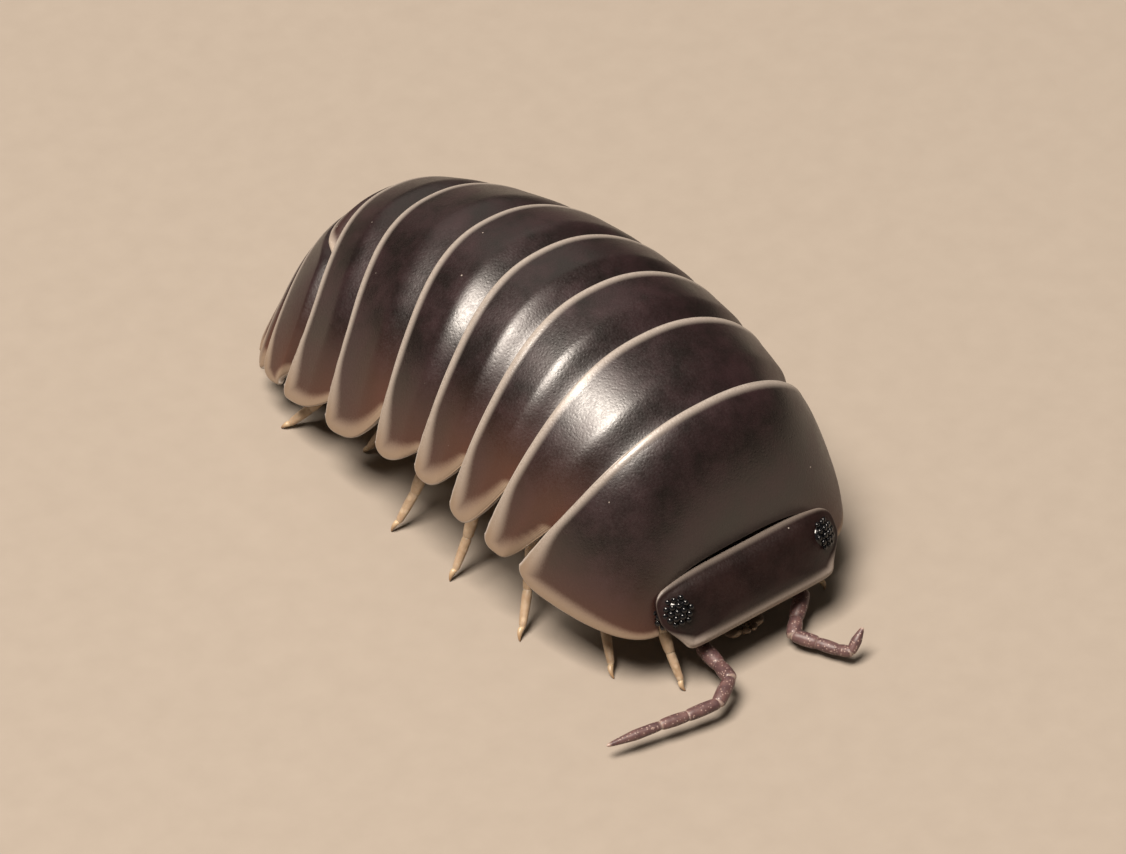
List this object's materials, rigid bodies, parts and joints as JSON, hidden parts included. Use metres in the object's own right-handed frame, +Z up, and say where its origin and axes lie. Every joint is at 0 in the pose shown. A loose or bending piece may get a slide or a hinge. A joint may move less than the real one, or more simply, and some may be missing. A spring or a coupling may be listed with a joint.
{
  "type": "pill woodlouse",
  "caption": "Life-size still model of a pill woodlouse standing on its legs, with overlapping shell plates, head, eyes, antennae, tail plates and legs.",
  "frame": {"origin": "on the floor, at the middle of the footprint of the whole animal with its antennae", "axes": "+Z up, -Y towards the head, -X towards the animal's right side"},
  "size_m": [0.0103, 0.0198, 0.0074],
  "materials": {
    "body_plate": "near-black glossy shell, brown and translucent low on the sides, pale translucent margins",
    "head_plate": "near-black satin shell with pale rims",
    "eye": "glossy black cluster of small lenses",
    "antenna": "purplish brown cuticle with pale specks and pale joints",
    "leg": "pale beige translucent cuticle",
    "underside": "pale matt cuticle"
  },
  "bodies": {
    "root": {"head": "head_plate", "pereonite_1": "body_plate", "pereonite_2": "body_plate", "pereonite_3": "body_plate", "pereonite_4": "body_plate", "pereonite_5": "body_plate", "pereonite_6": "body_plate", "pereonite_7": "body_plate", "pleonites_1_2": "body_plate", "pleonite_3": "body_plate", "pleonite_4": "body_plate", "pleonite_5": "body_plate", "telson": "body_plate", "uropod_right": "body_plate", "uropod_left": "body_plate", "eye_right": "eye", "eye_left": "eye", "antenna_right": "antenna", "antenna_left": "antenna", "leg_right_1": "leg", "leg_right_2": "leg", "leg_right_3": "leg", "leg_right_4": "leg", "leg_right_5": "leg", "leg_right_6": "leg", "leg_right_7": "leg", "leg_left_1": "leg", "leg_left_2": "leg", "leg_left_3": "leg", "leg_left_4": "leg", "leg_left_5": "leg", "leg_left_6": "leg", "leg_left_7": "leg", "mouthparts": "underside", "pleopods": "underside"}
  },
  "joints": []
}
